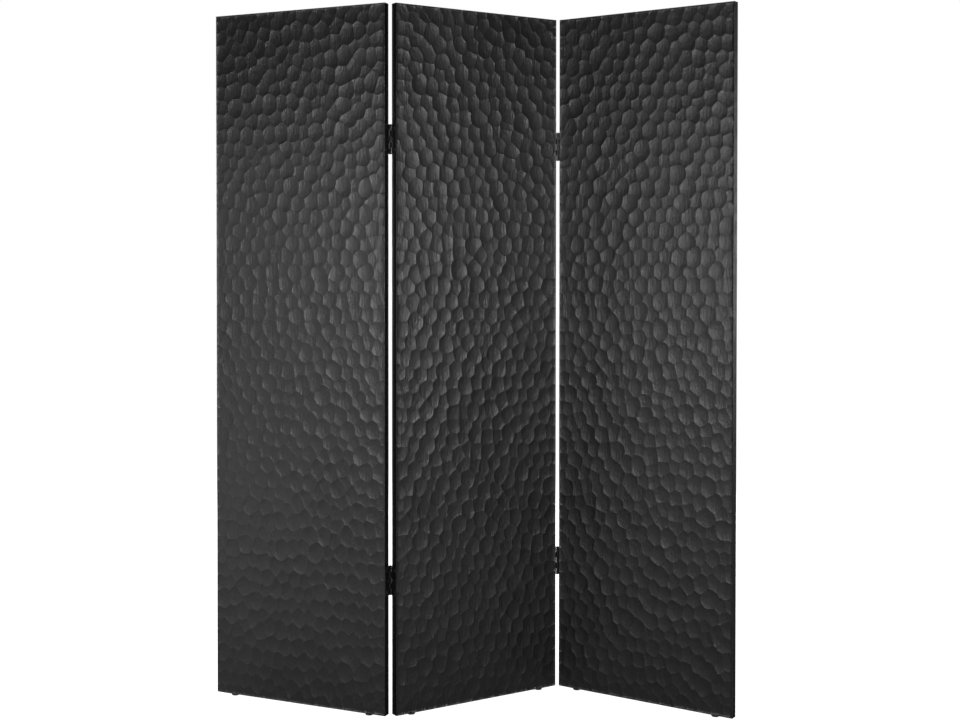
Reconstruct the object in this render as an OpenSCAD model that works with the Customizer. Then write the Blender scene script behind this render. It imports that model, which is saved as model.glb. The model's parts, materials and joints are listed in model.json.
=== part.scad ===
// Three-panel folding screen: a freestanding partition wall with gouged black faces.
// Millimetres, +Z up. The front faces -Y, and the panels stand in a zigzag on the floor, Z = 0.
// The origin is the middle of the standing screen's box, on the floor.

/* [Panels] */
// Width of one panel
panel_w = 500; // [380:5:650]
// Height of one panel, without its glides
panel_h = 1795; // [1400:5:2200]
// Thickness of the frame inside a panel
frame_t = 16; // [16:1:30]
// Thickness of each facing board
facing_t = 3; // [3:0.5:8]
// Width of the two upright frame stiles
stile_w = 60; // [60:5:100]
// Height of the top, middle and bottom frame rails
rail_h = 60; // [55:5:120]

/* [Standing pose] */
// Heading of the middle panel, anticlockwise from +X seen from above
middle_heading = 32; // [20:1:45]
// Fold between the left and middle panels, 0 when they are in line
left_fold = 57; // [30:1:90]
// Fold between the middle and right panels, 0 when they are in line
right_fold = 67; // [30:1:90]

/* [Hinges] */
// Length of a hinge along its pin
hinge_h = 75; // [60:5:100]
// From a panel's top or bottom edge to the middle of the hinge
hinge_inset = 340; // [150:10:450]
// Thickness of a hinge leaf
leaf_t = 1.5; // [1.2:0.1:2]
// Radius of a leaf's two free corners
leaf_corner_r = 2; // [1:0.5:4]
// Radius of the hinge pin
pin_r = 1.45; // [1.2:0.05:1.8]
// Running clearance round the pin
pin_clearance = 0.05; // [0.02:0.01:0.1]
// Radius of the riveted head at each end of the pin
pin_head_r = 2.4; // [2.2:0.1:2.6]
// Height of the riveted head
pin_head_h = 0.8; // [0.5:0.1:1.2]
// Number of knuckles along a hinge
knuckle_count = 5; // [3:2:7]
// Gap between one knuckle and the next, and between a knuckle and the other leaf
knuckle_gap = 0.4; // [0.3:0.1:0.8]

/* [Screws] */
// Radius of the screw shank
screw_r = 1.75; // [1.5:0.05:2]
// Radius of the countersunk screw head
screw_head_r = 3.2; // [3:0.1:3.6]
// Length of a screw under its head
screw_len = 18; // [12:1:25]
// Length of a screw's point
screw_tip = 4; // [2:1:6]
// Distance from the middle screw of a leaf to each outer one, along the pin
screw_pitch = 27; // [20:1:30]
// How far the screws stand to either side of the panel's middle plane
screw_stagger = 5.5; // [3:0.5:6]
// Clearance round a screw in the leaf and in the stile
screw_clearance = 0.1; // [0.05:0.05:0.2]
// Length of each bar of the cross recess in a screw head
recess_len = 3.4; // [2.8:0.2:4]
// Width of each bar of the cross recess
recess_w = 0.8; // [0.6:0.1:1]
// Depth of the cross recess
recess_depth = 1; // [0.6:0.1:1.2]

/* [Feet] */
// Radius of a floor glide
glide_r = 10; // [8:0.5:11]
// Height of a floor glide
glide_h = 5; // [4:0.5:12]
// Radius of the rounded rim under a glide
glide_rim_r = 2.5; // [1:0.5:3]
// From a panel's end to the middle of a glide
glide_inset = 50; // [20:1:50]
// Radius of a glide's nail
nail_r = 1.2; // [0.8:0.1:1.6]
// Radius of the nail's head
nail_head_r = 3; // [2.4:0.1:3.5]
// Thickness of the nail's head
nail_head_t = 1; // [0.6:0.1:1.4]
// How far the nail's head is let into the glide's underside
nail_head_depth = 1.5; // [1:0.1:2]
// Length of the nail above the panel's bottom edge
nail_len = 18; // [12:1:22]

/* [Frame joints] */
// Radius of a frame dowel
dowel_r = 3; // [2.5:0.5:3.5]
// Length of a frame dowel
dowel_len = 40; // [30:2:50]
// Wood left between a dowel and the rail's edge or a glide's nail
dowel_wall = 5; // [3:1:8]
// Clearance round a dowel or a nail, and past its ends
peg_clearance = 0.1; // [0.05:0.05:0.2]

/* [Hidden] */
$fn = 48;

lacquer = [0.10, 0.10, 0.10];
hardware = [0.14, 0.14, 0.14];
bare_wood = [0.76, 0.62, 0.42];
kraft = [0.72, 0.58, 0.40];
zinc = [0.66, 0.67, 0.68];

// Small overlap that keeps a cut clear of the face that it starts from
over = 1;

panel_t = frame_t + 2 * facing_t;
rail_w = panel_w - 2 * stile_w;
core_h = (panel_h - 3 * rail_h) / 2;
bore_r = pin_r + pin_clearance;
barrel_r = bore_r + leaf_t;
knuckle_pitch = hinge_h / knuckle_count;

// The pin's axis stands one barrel radius past the panel's edge and one past its face
pivot_y = panel_t / 2 + barrel_r;

// Which way a hinge's barrel stands on a panel's edge
BACK = 1;
FRONT = -1;

// The odd knuckles are on the leaf that carries the pin, and the even ones on the other leaf
pin_knuckles = [0 : 2 : knuckle_count - 1];
other_knuckles = [1 : 2 : knuckle_count - 1];

// Where each rail's bottom edge is
bottom_rail_z = 0;
middle_rail_z = rail_h + core_h;
top_rail_z = panel_h - rail_h;

// Heights of the two dowels at an end of a rail, in the wood between two heights
function dowel_pair(low, high) = [low + dowel_wall + dowel_r, high - dowel_wall - dowel_r];
bottom_rail_dowels = dowel_pair(nail_len, rail_h);
middle_rail_dowels = dowel_pair(middle_rail_z, middle_rail_z + rail_h);
top_rail_dowels = dowel_pair(top_rail_z, panel_h);
all_dowels = [bottom_rail_dowels, middle_rail_dowels, top_rail_dowels];

upper_hinge_z = panel_h - hinge_inset;
lower_hinge_z = hinge_inset;
hinge_heights = [lower_hinge_z, upper_hinge_z];

function turned(p, angle) =
    [p.x * cos(angle) - p.y * sin(angle), p.x * sin(angle) + p.y * cos(angle)];

// Plan of the standing screen, first with the middle panel's left end at the origin
left_heading = middle_heading - left_fold;
right_heading = middle_heading - right_fold;
left_pivot = turned([-barrel_r, pivot_y], middle_heading);
right_pivot = turned([panel_w + barrel_r, -pivot_y], middle_heading);
left_start = left_pivot - turned([panel_w + barrel_r, pivot_y], left_heading);
right_start = right_pivot - turned([-barrel_r, -pivot_y], right_heading);

function corners(start, heading) =
    [for (x = [0, panel_w], y = [-panel_t / 2, panel_t / 2]) start + turned([x, y], heading)];

plan = concat(
    corners(left_start, left_heading),
    corners([0, 0], middle_heading),
    corners(right_start, right_heading)
);
plan_x = [for (p = plan) p.x];
plan_y = [for (p = plan) p.y];
centre = [(min(plan_x) + max(plan_x)) / 2, (min(plan_y) + max(plan_y)) / 2];

// A panel is [where the bottom of its left end stands, its heading]
LEFT = [left_start - centre, left_heading];
MIDDLE = [-centre, middle_heading];
RIGHT = [right_start - centre, right_heading];

// ---- Where things go ----

// A panel's own frame: X along its width from its left end, Y through its thickness from its
// middle plane, Z up from its bottom edge
module on_panel(panel) {
    translate([panel[0].x, panel[0].y, glide_h])
        rotate(panel[1])
            children();
}

// Things drawn for a panel's left edge, moved to its right edge
module at_right_edge() {
    translate([panel_w, 0, 0])
        mirror([1, 0, 0])
            children();
}

module at_screws(barrel) {
    for (z = hinge_heights, step = [-1, 0, 1])
        translate([0, (step == 0 ? barrel : -barrel) * screw_stagger, z + step * screw_pitch])
            rotate([0, 90, 0])
                children();
}

// Dowels centred on the joints between the left stile and the given rails
module at_dowels(rails) {
    for (rail = rails, z = rail)
        translate([stile_w, 0, z])
            rotate([0, 90, 0])
                children();
}

module at_glides() {
    for (x = [glide_inset, panel_w - glide_inset])
        translate([x, 0, -glide_h])
            children();
}

// ---- Cuts that pieces share ----

module dowel_hole() {
    cylinder(r = dowel_r + peg_clearance, h = dowel_len + 2 * peg_clearance, center = true);
}

module screw_hole() {
    cylinder(r = screw_r + screw_clearance, h = screw_len + screw_clearance);
}

module nail_hole() {
    translate([0, 0, glide_h])
        cylinder(r = nail_r + peg_clearance, h = nail_len + peg_clearance);
}

// ---- Shapes that repeat ----

// A stile drawn at the panel's left edge. barrel is 0 on a free edge, or BACK or FRONT
module stile(barrel) {
    difference() {
        translate([0, -frame_t / 2, 0])
            cube([stile_w, frame_t, panel_h]);
        at_dowels(all_dowels) dowel_hole();
        at_glides() nail_hole();
        if (barrel != 0)
            at_screws(barrel) screw_hole();
    }
}

module rail(bottom_z, dowels) {
    difference() {
        translate([stile_w, -frame_t / 2, bottom_z])
            cube([rail_w, frame_t, rail_h]);
        at_dowels([dowels]) dowel_hole();
        at_right_edge() at_dowels([dowels]) dowel_hole();
    }
}

module core(bottom_z) {
    translate([stile_w, -frame_t / 2, bottom_z])
        cube([rail_w, frame_t, core_h]);
}

module facing(side) {
    translate([0, side * (frame_t + facing_t) / 2 - facing_t / 2, 0])
        cube([panel_w, facing_t, panel_h]);
}

module dowel() {
    cylinder(r = dowel_r, h = dowel_len, center = true);
}

// A glide stands on Z = 0 with its rim rounded and its nail's head let in from below
module glide() {
    difference() {
        rotate_extrude() {
            square([glide_r - glide_rim_r, glide_h]);
            translate([0, glide_rim_r])
                square([glide_r, glide_h - glide_rim_r]);
            translate([glide_r - glide_rim_r, glide_rim_r])
                circle(r = glide_rim_r);
        }
        translate([0, 0, -over])
            cylinder(r = nail_r + peg_clearance, h = glide_h + 2 * over);
        translate([0, 0, -over])
            cylinder(r = nail_head_r + peg_clearance, h = nail_head_depth + nail_head_t + over);
    }
}

module nail() {
    translate([0, 0, nail_head_depth])
        cylinder(r = nail_head_r, h = nail_head_t);
    translate([0, 0, nail_head_depth])
        cylinder(r = nail_r, h = glide_h - nail_head_depth + nail_len);
}

// A wood screw with its point along +Z and its head's edge at Z = -leaf_t
module screw() {
    difference() {
        union() {
            translate([0, 0, -leaf_t])
                cylinder(r1 = screw_head_r, r2 = screw_r, h = leaf_t);
            cylinder(r = screw_r, h = screw_len - screw_tip);
            translate([0, 0, screw_len - screw_tip])
                cylinder(r1 = screw_r, r2 = 0, h = screw_tip);
        }
        for (turn = [0, 90])
            rotate(turn)
                translate([-recess_len / 2, -recess_w / 2, -leaf_t - over])
                    cube([recess_len, recess_w, recess_depth + over]);
    }
}

module countersunk_hole() {
    translate([0, 0, -leaf_t - over])
        cylinder(r = screw_r + screw_clearance, h = leaf_t + 2 * over);
    translate([0, 0, -leaf_t])
        cylinder(
            r1 = screw_head_r + screw_clearance,
            r2 = screw_r + screw_clearance,
            h = leaf_t
        );
}

// A leaf's flat outline, with its free edge at X = 0 and its length along Y
module leaf_outline() {
    flat_w = panel_t - knuckle_gap;
    translate([leaf_corner_r, 0])
        square([flat_w - leaf_corner_r, hinge_h]);
    translate([0, leaf_corner_r])
        square([flat_w, hinge_h - 2 * leaf_corner_r]);
    for (y = [leaf_corner_r, hinge_h - leaf_corner_r])
        translate([leaf_corner_r, y])
            circle(r = leaf_corner_r);
}

// A leaf screwed to a panel's left edge, X = 0, with its barrel at the back
module back_leaf(knuckles) {
    difference() {
        union() {
            translate([-leaf_t, -panel_t / 2, -hinge_h / 2])
                rotate([90, 0, 90])
                    linear_extrude(leaf_t)
                        leaf_outline();
            for (k = knuckles)
                translate([0, 0, -hinge_h / 2 + k * knuckle_pitch + knuckle_gap / 2]) {
                    translate([-leaf_t, panel_t / 2 - knuckle_gap - over, 0])
                        cube([leaf_t, barrel_r + knuckle_gap + over, knuckle_pitch - knuckle_gap]);
                    translate([-barrel_r, pivot_y, 0])
                        cylinder(r = barrel_r, h = knuckle_pitch - knuckle_gap);
                }
        }
        translate([-barrel_r, pivot_y, -hinge_h / 2 - over])
            cylinder(r = bore_r, h = hinge_h + 2 * over);
        for (step = [-1, 0, 1])
            translate([0, (step == 0 ? 1 : -1) * screw_stagger, step * screw_pitch])
                rotate([0, 90, 0])
                    countersunk_hole();
    }
}

module leaf(barrel, height, knuckles) {
    color(hardware)
        translate([0, 0, height])
            mirror([0, barrel == BACK ? 0 : 1, 0])
                back_leaf(knuckles);
}

// The pin stands on the axis of a hinge on a panel's left edge, riveted over at both ends
module pin(barrel, height) {
    color(hardware)
        translate([-barrel_r, barrel * pivot_y, height]) {
            cylinder(r = pin_r, h = hinge_h - knuckle_gap, center = true);
            for (end = [0, 1])
                mirror([0, 0, end])
                    translate([0, 0, (hinge_h - knuckle_gap) / 2])
                        cylinder(r1 = pin_head_r, r2 = pin_head_r - pin_head_h, h = pin_head_h);
        }
}

// ---- Panel pieces ----

module left_stile(panel, barrel) {
    color(lacquer)
        on_panel(panel)
            stile(barrel);
}

module right_stile(panel, barrel) {
    color(lacquer)
        on_panel(panel)
            at_right_edge() stile(barrel);
}

module top_rail(panel) {
    color(lacquer)
        on_panel(panel)
            rail(top_rail_z, top_rail_dowels);
}

module middle_rail(panel) {
    color(bare_wood)
        on_panel(panel)
            rail(middle_rail_z, middle_rail_dowels);
}

module bottom_rail(panel) {
    color(lacquer)
        on_panel(panel)
            rail(bottom_rail_z, bottom_rail_dowels);
}

module upper_core(panel) {
    color(kraft)
        on_panel(panel)
            core(middle_rail_z + rail_h);
}

module lower_core(panel) {
    color(kraft)
        on_panel(panel)
            core(rail_h);
}

module front_facing(panel) {
    color(lacquer)
        on_panel(panel)
            facing(FRONT);
}

module back_facing(panel) {
    color(lacquer)
        on_panel(panel)
            facing(BACK);
}

module dowels(panel) {
    color(bare_wood)
        on_panel(panel) {
            at_dowels(all_dowels) dowel();
            at_right_edge() at_dowels(all_dowels) dowel();
        }
}

module glides(panel) {
    color(hardware)
        on_panel(panel)
            at_glides() glide();
}

module glide_nails(panel) {
    color(zinc)
        on_panel(panel)
            at_glides() nail();
}

// ---- Hinge pieces ----

module left_edge_screws(panel, barrel) {
    color(hardware)
        on_panel(panel)
            at_screws(barrel) screw();
}

module right_edge_screws(panel, barrel) {
    color(hardware)
        on_panel(panel)
            at_right_edge() at_screws(barrel) screw();
}

// The two left hinges have their barrels at the back. The left panel's leaf carries the pin
module left_hinge_panel_leaf(height) {
    on_panel(LEFT)
        at_right_edge() leaf(BACK, height, pin_knuckles);
}

module left_hinge_middle_leaf(height) {
    on_panel(MIDDLE)
        leaf(BACK, height, other_knuckles);
}

module left_hinge_pin(height) {
    on_panel(LEFT)
        at_right_edge() pin(BACK, height);
}

// The two right hinges have their barrels at the front. The right panel's leaf carries the pin
module right_hinge_panel_leaf(height) {
    on_panel(RIGHT)
        leaf(FRONT, height, pin_knuckles);
}

module right_hinge_middle_leaf(height) {
    on_panel(MIDDLE)
        at_right_edge() leaf(FRONT, height, other_knuckles);
}

module right_hinge_pin(height) {
    on_panel(RIGHT)
        pin(FRONT, height);
}

// ---- The screen ----

left_stile(LEFT, 0);  // left_outer_stile
right_stile(LEFT, BACK);  // left_inner_stile
top_rail(LEFT);  // left_top_rail
middle_rail(LEFT);  // left_middle_rail
bottom_rail(LEFT);  // left_bottom_rail
upper_core(LEFT);  // left_upper_core
lower_core(LEFT);  // left_lower_core
front_facing(LEFT);  // left_front_facing
back_facing(LEFT);  // left_back_facing
dowels(LEFT);  // left_dowels
glides(LEFT);  // left_glides
glide_nails(LEFT);  // left_glide_nails

left_stile(MIDDLE, BACK);  // middle_left_stile
right_stile(MIDDLE, FRONT);  // middle_right_stile
top_rail(MIDDLE);  // middle_top_rail
middle_rail(MIDDLE);  // middle_middle_rail
bottom_rail(MIDDLE);  // middle_bottom_rail
upper_core(MIDDLE);  // middle_upper_core
lower_core(MIDDLE);  // middle_lower_core
front_facing(MIDDLE);  // middle_front_facing
back_facing(MIDDLE);  // middle_back_facing
dowels(MIDDLE);  // middle_dowels
glides(MIDDLE);  // middle_glides
glide_nails(MIDDLE);  // middle_glide_nails

left_stile(RIGHT, FRONT);  // right_inner_stile
right_stile(RIGHT, 0);  // right_outer_stile
top_rail(RIGHT);  // right_top_rail
middle_rail(RIGHT);  // right_middle_rail
bottom_rail(RIGHT);  // right_bottom_rail
upper_core(RIGHT);  // right_upper_core
lower_core(RIGHT);  // right_lower_core
front_facing(RIGHT);  // right_front_facing
back_facing(RIGHT);  // right_back_facing
dowels(RIGHT);  // right_dowels
glides(RIGHT);  // right_glides
glide_nails(RIGHT);  // right_glide_nails

left_hinge_panel_leaf(upper_hinge_z);  // left_upper_hinge_panel_leaf
left_hinge_middle_leaf(upper_hinge_z);  // left_upper_hinge_middle_leaf
left_hinge_pin(upper_hinge_z);  // left_upper_hinge_pin
left_hinge_panel_leaf(lower_hinge_z);  // left_lower_hinge_panel_leaf
left_hinge_middle_leaf(lower_hinge_z);  // left_lower_hinge_middle_leaf
left_hinge_pin(lower_hinge_z);  // left_lower_hinge_pin
right_hinge_panel_leaf(upper_hinge_z);  // right_upper_hinge_panel_leaf
right_hinge_middle_leaf(upper_hinge_z);  // right_upper_hinge_middle_leaf
right_hinge_pin(upper_hinge_z);  // right_upper_hinge_pin
right_hinge_panel_leaf(lower_hinge_z);  // right_lower_hinge_panel_leaf
right_hinge_middle_leaf(lower_hinge_z);  // right_lower_hinge_middle_leaf
right_hinge_pin(lower_hinge_z);  // right_lower_hinge_pin

right_edge_screws(LEFT, BACK);  // left_panel_screws
left_edge_screws(MIDDLE, BACK);  // middle_panel_left_screws
right_edge_screws(MIDDLE, FRONT);  // middle_panel_right_screws
left_edge_screws(RIGHT, FRONT);  // right_panel_screws
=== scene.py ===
"""Three-panel folding screen, black, with gouged faces. Metres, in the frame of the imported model."""
import json
import math
import random

import bpy
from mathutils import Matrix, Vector


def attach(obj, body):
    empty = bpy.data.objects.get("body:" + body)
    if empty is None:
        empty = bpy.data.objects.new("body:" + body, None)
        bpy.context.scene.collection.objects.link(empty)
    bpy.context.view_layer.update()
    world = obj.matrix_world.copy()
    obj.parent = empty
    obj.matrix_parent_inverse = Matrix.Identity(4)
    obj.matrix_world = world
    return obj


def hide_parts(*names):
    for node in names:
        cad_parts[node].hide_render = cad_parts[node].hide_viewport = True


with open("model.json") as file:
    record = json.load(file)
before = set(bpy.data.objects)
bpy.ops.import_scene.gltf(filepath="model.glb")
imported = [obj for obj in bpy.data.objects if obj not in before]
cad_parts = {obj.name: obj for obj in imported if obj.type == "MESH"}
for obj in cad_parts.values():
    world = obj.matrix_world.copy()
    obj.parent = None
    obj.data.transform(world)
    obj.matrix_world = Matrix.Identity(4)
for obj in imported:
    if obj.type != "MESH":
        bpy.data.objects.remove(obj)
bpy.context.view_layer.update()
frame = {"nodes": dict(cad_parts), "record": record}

MM = 0.001
UP = Vector((0, 0, 1))
PANELS = ("left", "middle", "right")

# ---- The camera ----

# The photograph is 960 pixels wide, and was framed a little low and to the right of the lens's axis.
# These are fitted to it, in its pixels: the focal length, and how far the axis is from the centre.
FRAME_W = 960
SENSOR_W = 36
FOCAL_PX = 1450
AXIS_LEFT_PX = 50
AXIS_ABOVE_PX = 75
EYE = Vector((-0.1016, -3.770, 1.154))
TILT_DOWN = math.radians(0.96)


def make_camera():
    lens = bpy.data.cameras.new("camera")
    lens.sensor_width = SENSOR_W
    lens.lens = FOCAL_PX / FRAME_W * SENSOR_W
    lens.shift_x = AXIS_LEFT_PX / FRAME_W
    lens.shift_y = -AXIS_ABOVE_PX / FRAME_W
    camera = bpy.data.objects.new("camera", lens)
    camera.location = EYE
    camera.rotation_euler = (math.radians(90) - TILT_DOWN, 0, 0)
    bpy.context.scene.collection.objects.link(camera)
    bpy.context.scene.camera = camera


# ---- The studio ----

# The backdrop shows white, and lights the object by this much
BACKDROP_LIGHT = 0.08
BACKDROP_WHITE = 1.0
FLOOR_REACH = 60
# Lights aim at the screen's middle, from this far, and sizes are widths and heights in metres
AIM_HEIGHT = 0.95
KEY_DISTANCE = 3.6
KEY_SIZE = (0.5, 0.9)
BACK_AZIMUTHS = (118, 162, 204, 244)
BACK_SIZE = (0.9, 1.0)


def softbox(name, azimuth, distance, height, size, power, target_height=AIM_HEIGHT):
    """An area light at an azimuth in degrees, 0 in front of the screen and positive to the right."""
    light = bpy.data.lights.new(name, "AREA")
    light.shape = "RECTANGLE"
    light.size, light.size_y = size
    light.energy = power
    turn = math.radians(azimuth)
    lamp = bpy.data.objects.new(name, light)
    lamp.location = (distance * math.sin(turn), -distance * math.cos(turn), height)
    lamp.rotation_mode = "QUATERNION"
    lamp.rotation_quaternion = (Vector((0, 0, target_height)) - lamp.location).to_track_quat("-Z", "Y")
    lamp.visible_camera = False
    bpy.context.scene.collection.objects.link(lamp)


def make_studio():
    world = bpy.data.worlds.new("white_backdrop")
    bpy.context.scene.world = world
    world.use_nodes = True
    nodes = world.node_tree.nodes
    links = world.node_tree.links
    nodes.clear()
    seen = nodes.new("ShaderNodeLightPath")
    strength = nodes.new("ShaderNodeMapRange")
    strength.inputs["To Min"].default_value = BACKDROP_LIGHT
    strength.inputs["To Max"].default_value = BACKDROP_WHITE
    background = nodes.new("ShaderNodeBackground")
    background.inputs["Color"].default_value = (1, 1, 1, 1)
    output = nodes.new("ShaderNodeOutputWorld")
    links.new(seen.outputs["Is Camera Ray"], strength.inputs["Value"])
    links.new(strength.outputs["Result"], background.inputs["Strength"])
    links.new(background.outputs["Background"], output.inputs["Surface"])
    softbox("key_right", 37, KEY_DISTANCE, height=1.25, size=KEY_SIZE, power=80)
    softbox("key_left", -33, KEY_DISTANCE, height=1.2, size=KEY_SIZE, power=69)
    softbox("fill_left", -74, distance=1.7, height=0.85, size=(0.4, 1.6), power=4.2)
    softbox("top", 0, distance=0.2, height=3.4, size=(3.0, 3.0), power=30, target_height=0)
    for azimuth in BACK_AZIMUTHS:
        softbox(f"back_{azimuth}", azimuth, KEY_DISTANCE, height=1.3, size=BACK_SIZE, power=75)
    make_floor()


def make_floor():
    mesh = bpy.data.meshes.new("floor")
    far = FLOOR_REACH
    mesh.from_pydata([(-far, -far, 0), (far, -far, 0), (far, far, 0), (-far, far, 0)], [], [(0, 1, 2, 3)])
    floor = bpy.data.objects.new("floor", mesh)
    floor.data.materials.append(floor_material())
    bpy.context.scene.collection.objects.link(floor)


# ---- Materials ----

class Material:
    """A node material with one Principled shader, and short ways to add what drives it."""

    def __init__(self, name, **fixed):
        self.material = bpy.data.materials.new(name)
        self.material.use_nodes = True
        self.tree = self.material.node_tree
        self.shader = self.tree.nodes["Principled BSDF"]
        for socket, value in fixed.items():
            self.shader.inputs[socket.replace("_", " ")].default_value = value
        self.place = self.node("TexCoord").outputs["Object"]

    def node(self, kind, **settings):
        made = self.tree.nodes.new("ShaderNode" + kind)
        for key, value in settings.items():
            setattr(made, key, value)
        return made

    def link(self, source, target):
        self.tree.links.new(source, target)

    def stretched(self, scale):
        mapping = self.node("Mapping")
        mapping.inputs["Scale"].default_value = scale
        self.link(self.place, mapping.inputs["Vector"])
        return mapping.outputs["Vector"]

    def noise(self, scale, detail=3.0, roughness=0.5, place=None):
        """Noise with about this many bumps to a metre."""
        noise = self.node("TexNoise")
        noise.inputs["Scale"].default_value = scale
        noise.inputs["Detail"].default_value = detail
        noise.inputs["Roughness"].default_value = roughness
        self.link(place or self.place, noise.inputs["Vector"])
        return noise.outputs["Fac"]

    def attribute(self, name):
        return self.node("Attribute", attribute_name=name).outputs["Fac"]

    def ranged(self, value, old, new):
        """A value moved from its old range to a new one, and kept inside it."""
        spread = self.node("MapRange")
        for socket, number in zip(("From Min", "From Max", "To Min", "To Max"), (*old, *new)):
            spread.inputs[socket].default_value = number
        self.link(value, spread.inputs["Value"])
        return spread.outputs["Result"]

    def math(self, operation, a, b):
        node = self.node("Math", operation=operation)
        for socket, value in zip(node.inputs, (a, b)):
            if isinstance(value, (int, float)):
                socket.default_value = value
            else:
                self.link(value, socket)
        return node.outputs["Value"]

    def colours(self, value, dark, light):
        mix = self.node("Mix", data_type="RGBA")
        mix.inputs["A"].default_value = (*dark, 1)
        mix.inputs["B"].default_value = (*light, 1)
        self.link(value, mix.inputs["Factor"])
        self.link(mix.outputs["Result"], self.shader.inputs["Base Color"])

    def roughness(self, value):
        self.link(value, self.shader.inputs["Roughness"])

    def bump(self, height, distance, strength=1.0):
        bump = self.node("Bump")
        bump.inputs["Distance"].default_value = distance
        bump.inputs["Strength"].default_value = strength
        self.link(height, bump.inputs["Height"])
        self.link(bump.outputs["Normal"], self.shader.inputs["Normal"])


def facing_material():
    """Black satin lacquer over gouged board: ridges rubbed a little lighter, upright grain just showing."""
    m = Material("lacquered_facing", Specular_IOR_Level=0.4)
    ridge = m.attribute("ridge")
    grain = m.noise(190, detail=4, roughness=0.7, place=m.stretched((1, 1, 0.2)))
    waves = m.noise(85, detail=3, roughness=0.55)
    cloud = m.noise(9, detail=4)
    speck = m.noise(700, detail=3)
    tone = m.math("ADD", m.ranged(cloud, (0.3, 0.7), (0.0, 0.3)), m.ranged(ridge, (0.9, 1.0), (0.0, 0.2)))
    tone = m.math("ADD", tone, m.ranged(grain, (0.3, 0.7), (0.0, 0.35)))
    m.colours(tone, (0.0018, 0.0018, 0.0019), (0.0085, 0.0085, 0.0087))
    sheen = m.ranged(cloud, (0.25, 0.75), (0.32, 0.38))
    m.roughness(m.math("ADD", sheen, m.ranged(grain, (0.3, 0.7), (-0.04, 0.06))))
    height = m.math("ADD", m.math("MULTIPLY", grain, 1.35), m.math("MULTIPLY", waves, 0.8))
    height = m.math("ADD", height, m.math("MULTIPLY", speck, 0.06))
    m.bump(height, distance=0.0008, strength=0.85)
    return m.material


def painted_shade_edge_material():
    """The same black on the boards' flat edges, duller, and painted darker than on the faces: painted shade.
    """
    m = Material("lacquered_edge", Specular_IOR_Level=0.03)
    cloud = m.noise(30, detail=4)
    grain = m.noise(500, detail=4, roughness=0.6, place=m.stretched((1, 1, 0.05)))
    # Painted shade: this black is darker than the same lacquer on the faces
    m.colours(cloud, (0.0012, 0.0012, 0.0013), (0.0032, 0.0032, 0.0033))
    m.roughness(m.ranged(cloud, (0.3, 0.7), (0.5, 0.62)))
    m.bump(grain, distance=0.0002, strength=0.5)
    return m.material


def wood_material():
    m = Material("bare_wood")
    grain = m.noise(260, detail=5, roughness=0.6, place=m.stretched((0.25, 0.25, 1)))
    m.colours(m.ranged(grain, (0.3, 0.7), (0, 1)), (0.33, 0.20, 0.10), (0.58, 0.41, 0.24))
    m.roughness(m.ranged(grain, (0.3, 0.7), (0.6, 0.8)))
    m.bump(grain, distance=0.0003)
    return m.material


def honeycomb_material():
    m = Material("honeycomb_paper")
    cells = m.node("TexVoronoi", feature="DISTANCE_TO_EDGE")
    cells.inputs["Scale"].default_value = 60
    m.link(m.place, cells.inputs["Vector"])
    walls_and_shaded_hollows = m.ranged(cells.outputs["Distance"], (0.0, 0.08), (1, 0))
    # Painted shade: the hollows between the paper walls are coloured darker than the walls
    m.colours(walls_and_shaded_hollows, (0.20, 0.13, 0.07), (0.52, 0.38, 0.23))
    m.roughness(m.ranged(walls_and_shaded_hollows, (0, 1), (0.95, 0.8)))
    m.bump(walls_and_shaded_hollows, distance=0.002)
    return m.material


def hardware_material():
    """Steel in black paint, satin like the panels, with a fine orange peel."""
    m = Material("black_hardware", Specular_IOR_Level=0.25)
    cloud = m.noise(120, detail=4)
    peel = m.noise(900, detail=2)
    m.colours(m.ranged(cloud, (0.35, 0.75), (0, 1)), (0.0015, 0.0015, 0.0016), (0.005, 0.005, 0.0053))
    m.roughness(m.ranged(cloud, (0.3, 0.7), (0.28, 0.38)))
    m.bump(peel, distance=0.0001, strength=0.4)
    return m.material


def screw_material():
    """Black screws, driven and so rubbed bright in places."""
    m = Material("rubbed_screws", Metallic=1.0)
    rub = m.noise(700, detail=3, roughness=0.6)
    m.colours(m.ranged(rub, (0.42, 0.62), (0, 1)), (0.025, 0.025, 0.026), (0.42, 0.42, 0.43))
    m.roughness(m.ranged(rub, (0.35, 0.65), (0.42, 0.3)))
    m.bump(rub, distance=0.0001, strength=0.5)
    return m.material


def nylon_material():
    m = Material("black_nylon")
    scuff = m.noise(300, detail=4)
    m.colours(scuff, (0.006, 0.006, 0.006), (0.016, 0.016, 0.016))
    m.roughness(m.ranged(scuff, (0.3, 0.7), (0.5, 0.7)))
    m.bump(scuff, distance=0.0001)
    return m.material


def zinc_material():
    m = Material("zinc_steel", Metallic=1.0)
    spangle = m.noise(400, detail=3)
    m.colours(spangle, (0.42, 0.43, 0.44), (0.66, 0.67, 0.68))
    m.roughness(m.ranged(spangle, (0.3, 0.7), (0.28, 0.45)))
    m.bump(spangle, distance=0.00005)
    return m.material


def floor_material():
    """White paper: it shows nearly as white as the backdrop, and still takes the feet's shadows."""
    m = Material("studio_floor", Specular_IOR_Level=0.2, Roughness=0.75)
    cloud = m.noise(2, detail=3)
    m.colours(cloud, (0.42, 0.42, 0.42), (0.46, 0.46, 0.46))
    m.shader.inputs["Emission Color"].default_value = (1, 1, 1, 1)
    seen = m.node("LightPath").outputs["Is Camera Ray"]
    away = m.node("VectorMath", operation="LENGTH")
    m.link(m.place, away.inputs[0])
    glow = m.ranged(away.outputs["Value"], (0.5, 4.0), (0.86, 1.0))
    m.link(m.math("MULTIPLY", seen, glow), m.shader.inputs["Emission Strength"])
    return m.material


MATERIALS = {
    "lacquered_facing": facing_material(),
    "lacquered_edge": painted_shade_edge_material(),
    "bare_wood": wood_material(),
    "honeycomb": honeycomb_material(),
    "black_hardware": hardware_material(),
    "black_nylon": nylon_material(),
    "zinc_steel": zinc_material(),
}


# ---- The gouged faces ----

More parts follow.
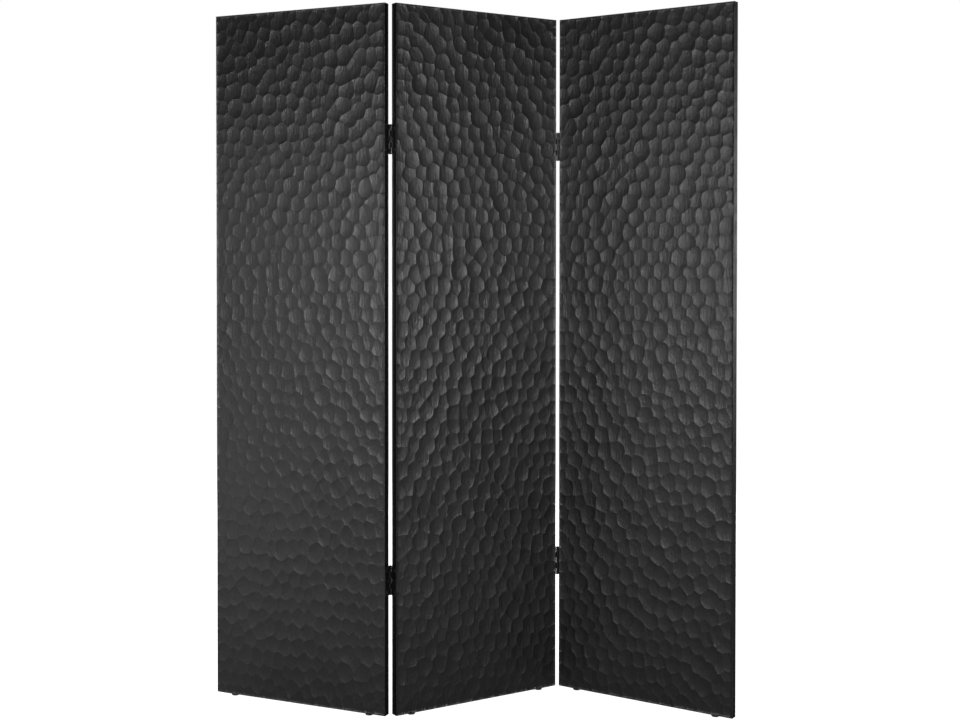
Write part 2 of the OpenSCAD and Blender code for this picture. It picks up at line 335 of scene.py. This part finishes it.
# The scoops stand in rows that are offset like bricks and ROW_STEP of a height apart. The centres
# are each moved by up to WANDER of a step, and the rows and columns go BEYOND the board's edges.
SCOOP_W = 0.0355
SCOOP_H = 0.0415
ROW_STEP = 0.87
WANDER = 0.38
BEYOND = 2
# A scoop's floor rises about as RISE * distance squared, in metres, but flatter in the middle and
# steeper outside: the share CURL of it goes with the fourth power, and at RIM the slopes are equal
RISE = 4.0
CURL = 0.4
RIM = 0.019
# Scoops are up to this much deeper or shallower than the usual
DEPTH_SPREAD = 0.0005
# The board's own face, over the deepest point of a usual scoop: nothing stands above it
FACE_HEIGHT = 0.0022
# A deep scoop's outline bows over a shallow neighbour, up to an arc of this radius and this far
OUTLINE_RADIUS = 0.026
MOST_BOW = 0.0021
# The powers by which a bowl bends up to a ridge it doesn't meet, and to the lip at the board's edge
RIDGE_FADE = 4
LIP_FADE = 12
# An outline is cut into parts about this long, and a bowl into rings at these shares of its outline
SEGMENT = 0.0055
RINGS = (0.32, 0.6, 0.84)
# The radius of the rounding along the board's face, and how near two corners are one corner
ARRIS = 0.0007
WELD = 0.00012


class Board:
    """An upright board's own axes, read from its CAD mesh: U along it, V up, N out of its show face."""

    def __init__(self, node, outward):
        points = {tuple(round(c, 6) for c in v.co) for v in frame["nodes"][node].data.vertices}
        low = min(p[2] for p in points)
        foot = [Vector(p) for p in points if p[2] < low + MM]
        centre = sum(foot, Vector()) / len(foot)
        # The foot's four corners, two at each end
        ends = sorted(foot, key=lambda p: p.x)
        along = (ends[2] + ends[3] - ends[0] - ends[1]).normalized()
        if outward == "back":
            along = -along
        self.along = along
        self.out = along.cross(UP)
        reach = [(p - centre).dot(along) for p in foot]
        depth = [(p - centre).dot(self.out) for p in foot]
        self.width = max(reach) - min(reach)
        self.thickness = max(depth) - min(depth)
        self.height = max(p[2] for p in points) - low
        self.corner = centre + along * min(reach) + self.out * max(depth)

    def at(self, u, v, depth):
        return self.corner + self.along * u + UP * v + self.out * depth


class Scoop:
    """One gouge: its centre on the board, and how much deeper than usual it is."""

    def __init__(self, u, v, extra):
        self.u = u
        self.v = v
        self.extra = extra

    def floor(self, u, v):
        """Height of the scoop's own bowl over the deepest point of a usual one, at a place on the board."""
        apart = self.apart(u, v)
        return RISE * apart * (1 - CURL + CURL * apart / (2 * RIM * RIM)) - self.extra

    def apart(self, u, v):
        """The squared distance from the scoop's centre, with heights scaled to make the scoop round."""
        across = u - self.u
        up = (v - self.v) * SCOOP_W / SCOOP_H
        return across * across + up * up


def scatter_scoops(width, height, draw):
    scoops = []
    rows = int(height / (SCOOP_H * ROW_STEP)) + 2 * BEYOND
    columns = int(width / SCOOP_W) + 2 * BEYOND
    for row in range(-BEYOND, rows):
        for column in range(-BEYOND, columns):
            u = (column + 0.5 * (row % 2) + draw.uniform(-WANDER, WANDER)) * SCOOP_W
            v = (row + draw.uniform(-WANDER, WANDER)) * SCOOP_H * ROW_STEP
            scoops.append(Scoop(u, v, draw.uniform(-DEPTH_SPREAD, DEPTH_SPREAD)))
    return scoops


def cut(outline, mine, other):
    """The part of an outline that is mine, on my side of the straight line where two scoops meet."""
    kept = []
    ahead = (mine.extra - other.extra) / RISE
    levels = [mine.apart(*p) - other.apart(*p) - ahead for p in outline]
    for i, p in enumerate(outline):
        q = outline[i - 1]
        here, there = levels[i], levels[i - 1]
        if (here <= 0) != (there <= 0):
            share = there / (there - here)
            kept.append((q[0] + (p[0] - q[0]) * share, q[1] + (p[1] - q[1]) * share))
        if here <= 0:
            kept.append(p)
    return kept


def near(scoops):
    """For each scoop, the others that could touch it."""
    size = 2 * SCOOP_W
    squares = {}
    for s in scoops:
        squares.setdefault((int(s.u // size), int(s.v // size)), []).append(s)
    for s in scoops:
        a, b = int(s.u // size), int(s.v // size)
        around = [t for i in (a - 1, a, a + 1) for j in (b - 1, b, b + 1) for t in squares.get((i, j), ())]
        yield s, sorted((t for t in around if t is not s), key=lambda t: (t.u - s.u) ** 2 + (t.v - s.v) ** 2)


def outlines(scoops, w, h):
    """Each scoop with its own outline on a board of this width and height."""
    for scoop, others in near(scoops):
        outline = [(0, 0), (w, 0), (w, h), (0, h)]
        for other in others:
            outline = cut(outline, scoop, other)
            if len(outline) < 3:
                break
        if len(outline) > 2:
            yield scoop, outline


def even_out(scoops, w, h):
    """Moves each scoop to the middle of its outline's corners, which makes the outlines rounder."""
    moved = []
    for scoop, outline in outlines(scoops, w, h):
        u = sum(p[0] for p in outline) / len(outline)
        v = sum(p[1] for p in outline) / len(outline)
        moved.append(Scoop(u, v, scoop.extra))
    return moved


class Relief:
    """The gouged skin of a facing, as one closed mesh."""

    def __init__(self, board, seed):
        self.board = board
        self.width = board.width - 2 * ARRIS
        self.height = board.height - 2 * ARRIS
        self.draw = random.Random(seed)
        self.points = []
        self.heights = []
        self.ridge = []
        self.faces = []
        self.creases = set()
        self.corners = {}
        self.edges = {}
        for scoop, loop in self.share_out():
            self.carve(scoop, loop)
        self.close()

    def point(self, u, v, height, ridge):
        self.points.append((u, v))
        self.heights.append(min(height, FACE_HEIGHT))
        self.ridge.append(ridge)
        return len(self.points) - 1

    def corner(self, p):
        """The shared corner at a place, found again for each scoop that meets there."""
        a, b = round(p[0] / WELD), round(p[1] / WELD)
        for i in (a - 1, a, a + 1):
            for j in (b - 1, b, b + 1):
                if (i, j) in self.corners:
                    return self.corners[(i, j)]
        self.corners[(a, b)] = self.point(*p, 0.0, 1.0)
        return self.corners[(a, b)]

    def share_out(self):
        """Each scoop with the loop of shared corners round it."""
        w, h = self.width, self.height
        loops = []
        scoops = even_out(scatter_scoops(w, h, self.draw), w, h)
        for scoop, outline in outlines(scoops, w, h):
            loop = []
            for p in outline:
                index = self.corner(p)
                if index not in loop:
                    loop.append(index)
            if len(loop) > 2:
                loops.append((scoop, loop))
        self.scoops_at = {}
        for scoop, loop in loops:
            for index in loop:
                self.scoops_at.setdefault(index, []).append(scoop)
        for index, scoops in self.scoops_at.items():
            floors = [s.floor(*self.points[index]) for s in scoops]
            self.heights[index] = FACE_HEIGHT if self.on_border(index) else min(FACE_HEIGHT, *floors)
        self.sides = {}
        for scoop, loop in loops:
            for i, index in enumerate(loop):
                self.sides.setdefault(frozenset((loop[i - 1], index)), []).append(scoop)
        return loops

    def edge(self, a, b):
        """The points from corner a to corner b, without b, bowed over the shallower of its two scoops."""
        key = (min(a, b), max(a, b))
        if key not in self.edges:
            self.edges[key] = self.bowed(*key)
        between = self.edges[key]
        return [a, *(between if a < b else reversed(between))]

    def bowed(self, a, b):
        (ua, va), (ub, vb) = self.points[a], self.points[b]
        length = math.hypot(ub - ua, vb - va)
        scoops = self.sides[frozenset((a, b))]
        bow_u = bow_v = 0.0
        if len(scoops) == 2 and length > 0:
            deep, shallow = sorted(scoops, key=lambda s: -s.extra)
            share = min(1.0, (deep.extra - shallow.extra) / DEPTH_SPREAD)
            side_u, side_v = (vb - va) / length, (ua - ub) / length
            middle_u, middle_v = (ua + ub) / 2, (va + vb) / 2
            inside = min(middle_u, self.width - middle_u, middle_v, self.height - middle_v)
            # An arc's height over its chord is near length squared / 8 radii
            sagitta = share * min(length * length / (8 * OUTLINE_RADIUS), MOST_BOW, inside / 2)
            if side_u * (middle_u - deep.u) + side_v * (middle_v - deep.v) < 0:
                side_u, side_v = -side_u, -side_v
            bow_u, bow_v = side_u * sagitta, side_v * sagitta
        steps = max(1, round(length / SEGMENT))
        made = []
        for i in range(1, steps):
            t = i / steps
            lift = 4 * t * (1 - t)  # 0 at the corners and 1 in the middle
            u = ua + (ub - ua) * t + bow_u * lift
            v = va + (vb - va) * t + bow_v * lift
            height = FACE_HEIGHT
            if len(scoops) == 2:
                height = sum(s.floor(u, v) for s in scoops) / 2
            made.append(self.point(u, v, height, 1.0))
        return made

    def on_border(self, index):
        u, v = self.points[index]
        return min(u, self.width - u, v, self.height - v) < WELD

    def carve(self, scoop, loop):
        rim = []
        for i, index in enumerate(loop):
            rim += self.edge(loop[i - 1], index)
        self.crease(rim)
        cu = sum(self.points[i][0] for i in rim) / len(rim)
        cv = sum(self.points[i][1] for i in rim) / len(rim)
        bottom = self.point(cu, cv, scoop.floor(cu, cv), 0.0)
        inner = None
        for share in RINGS:
            ring = []
            for index in rim:
                ru, rv = self.points[index]
                u, v = cu + (ru - cu) * share, cv + (rv - cv) * share
                fade = LIP_FADE if self.on_border(index) else RIDGE_FADE
                settle = (self.heights[index] - scoop.floor(ru, rv)) * share ** fade
                ring.append(self.point(u, v, scoop.floor(u, v) + settle, share))
            self.join(inner, ring, bottom)
            inner = ring
        self.join(inner, rim, bottom)

    def join(self, inner, outer, bottom=None):
        """A band of faces between two rings, or a fan from the bottom where there is no inner ring."""
        for i in range(len(outer)):
            if inner is None:
                self.faces.append((bottom, outer[i - 1], outer[i]))
            else:
                self.faces.append((inner[i - 1], outer[i - 1], outer[i], inner[i]))

    def crease(self, ring):
        for i in range(len(ring)):
            self.creases.add(frozenset((ring[i - 1], ring[i])))

    def close(self):
        """Lays the ridge tops on the board's face, rounds the arris and adds the sides and back."""
        self.coordinates = []
        for index, (u, v) in enumerate(self.points):
            self.coordinates.append(self.board.at(u + ARRIS, v + ARRIS, self.depth(index)))
        border = self.border()
        arris = []
        for turn in (math.pi / 4, math.pi / 2):
            out = ARRIS * math.sin(turn)
            down = ARRIS * (1 - math.cos(turn))
            arris.append(self.skirt(border, out, lambda i, down=down: self.depth(i) - down))
        foot = self.skirt(border, ARRIS, lambda i: -self.board.thickness)
        self.join(border, arris[0])
        self.join(arris[0], arris[1])
        self.gouged_faces = len(self.faces)
        self.join(arris[1], foot)
        self.faces.append(tuple(foot))
        self.crease(arris[1])
        self.crease(foot)

    def border(self):
        """The ring of points round the relief, in order: the edges that only one face has."""
        uses = {}
        for face in self.faces:
            for i in range(len(face)):
                uses.setdefault(frozenset((face[i - 1], face[i])), []).append((face[i - 1], face[i]))
        follows = {found[0][0]: found[0][1] for found in uses.values() if len(found) == 1}
        start = next(iter(follows))
        ring = [start]
        while follows[ring[-1]] != start:
            ring.append(follows[ring[-1]])
        return ring

    def depth(self, index):
        """Where a point is from the board's face: 0 on it, and below 0 in a scoop."""
        return self.heights[index] - FACE_HEIGHT

    def skirt(self, border, out, depth_at):
        """A ring of new points round the border, this far outside it."""
        w, h = self.width, self.height
        made = []
        for index in border:
            u, v = self.points[index]
            side_u = (u > w - WELD) - (u < WELD)
            side_v = (v > h - WELD) - (v < WELD)
            u = u + ARRIS + side_u * out
            v = v + ARRIS + side_v * out
            self.coordinates.append(self.board.at(u, v, depth_at(index)))
            self.ridge.append(1.0)
            made.append(len(self.coordinates) - 1)
        return made


def make_facing(panel, side, seed):
    node = f"{panel}_{side}_facing"
    relief = Relief(Board(node, side), seed)
    mesh = bpy.data.meshes.new(f"{panel}_{side}_gouged_facing")
    mesh.from_pydata(relief.coordinates, [], relief.faces)
    mesh.validate()
    mesh.attributes.new("ridge", "FLOAT", "POINT").data.foreach_set("value", relief.ridge)
    mesh.shade_smooth()
    sharp = [frozenset(e.vertices) in relief.creases for e in mesh.edges]
    mesh.attributes.new("sharp_edge", "BOOLEAN", "EDGE").data.foreach_set("value", sharp)
    mesh.materials.append(MATERIALS["lacquered_facing"])
    mesh.materials.append(MATERIALS["lacquered_edge"])
    # The facing's sides and back take the edge material, with its painted shade
    edge = [int(i >= relief.gouged_faces) for i in range(len(mesh.polygons))]
    mesh.polygons.foreach_set("material_index", edge)
    facing = bpy.data.objects.new(mesh.name, mesh)
    bpy.context.scene.collection.objects.link(facing)
    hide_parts(node)
    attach(facing, f"{panel}_panel")


# ---- The screen ----

def dress_cad_nodes():
    screws = screw_material()
    for part in frame["record"]["subparts"]:
        mesh = frame["nodes"][part["node"]].data
        mesh.materials.clear()
        mesh.materials.append(screws if "screws" in part["node"] else MATERIALS[part["material_slot"]])


make_camera()
make_studio()
dress_cad_nodes()
for panel_number, panel in enumerate(PANELS):
    for side_number, side in enumerate(("front", "back")):
        make_facing(panel, side, seed=2 * panel_number + side_number + 1)

bpy.context.scene.view_settings.view_transform = "Standard"
